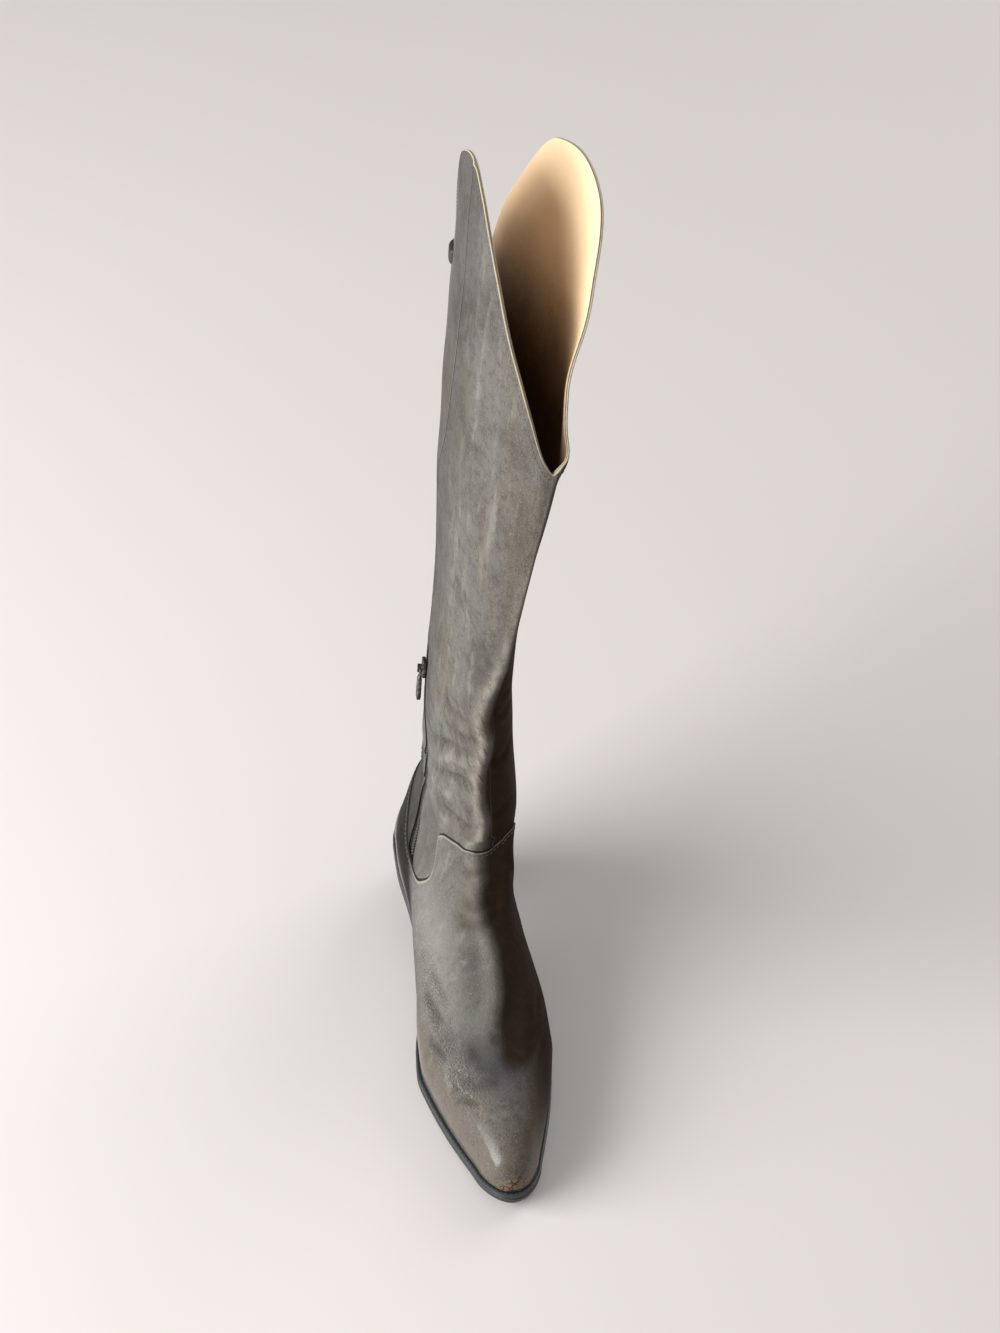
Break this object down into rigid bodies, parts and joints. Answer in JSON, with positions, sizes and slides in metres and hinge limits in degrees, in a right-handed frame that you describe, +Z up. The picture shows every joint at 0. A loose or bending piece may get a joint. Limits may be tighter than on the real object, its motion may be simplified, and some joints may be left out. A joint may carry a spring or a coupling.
{
  "type": "over-the-knee boot",
  "caption": "Tall pull-on western boot for the left foot: almond toe, block heel, deep dips in a two-lobed collar, short zip on the big-toe side.",
  "frame": {"origin": "middle of the flat ground face of the heel", "axes": "+Z up, -Y towards the toe, -X towards the big-toe side"},
  "size_m": [0.1047, 0.3007, 0.5505],
  "materials": {
    "leather": "worn grey-brown leather, browner and shinier over the foot",
    "sole_edge": "dark satin edge",
    "outsole": "dark matte rubber",
    "insole": "honey lining leather",
    "heel": "dark stacked leather",
    "top_lift": "black rubber",
    "zip_tape": "grey woven tape",
    "zip_metal": "antique dark metal"
  },
  "bodies": {
    "boot": {"upper": "leather", "welt": "sole_edge", "outsole": "outsole", "insole": "insole", "heel_block": "heel", "top_lift": "top_lift", "zip_tape": "zip_tape", "zip_chain": "zip_metal", "zip_slider": "zip_metal"},
    "pull_tab": {"zip_pull": "zip_metal"}
  },
  "joints": [
    {"name": "pull_swing", "type": "hinge", "parent": "boot", "child": "pull_tab", "pos_m": [-0.01473, -0.00943, 0.20715], "axis": [0.0813, 0.9558, -0.2826], "range_deg": [0, 150]}
  ]
}
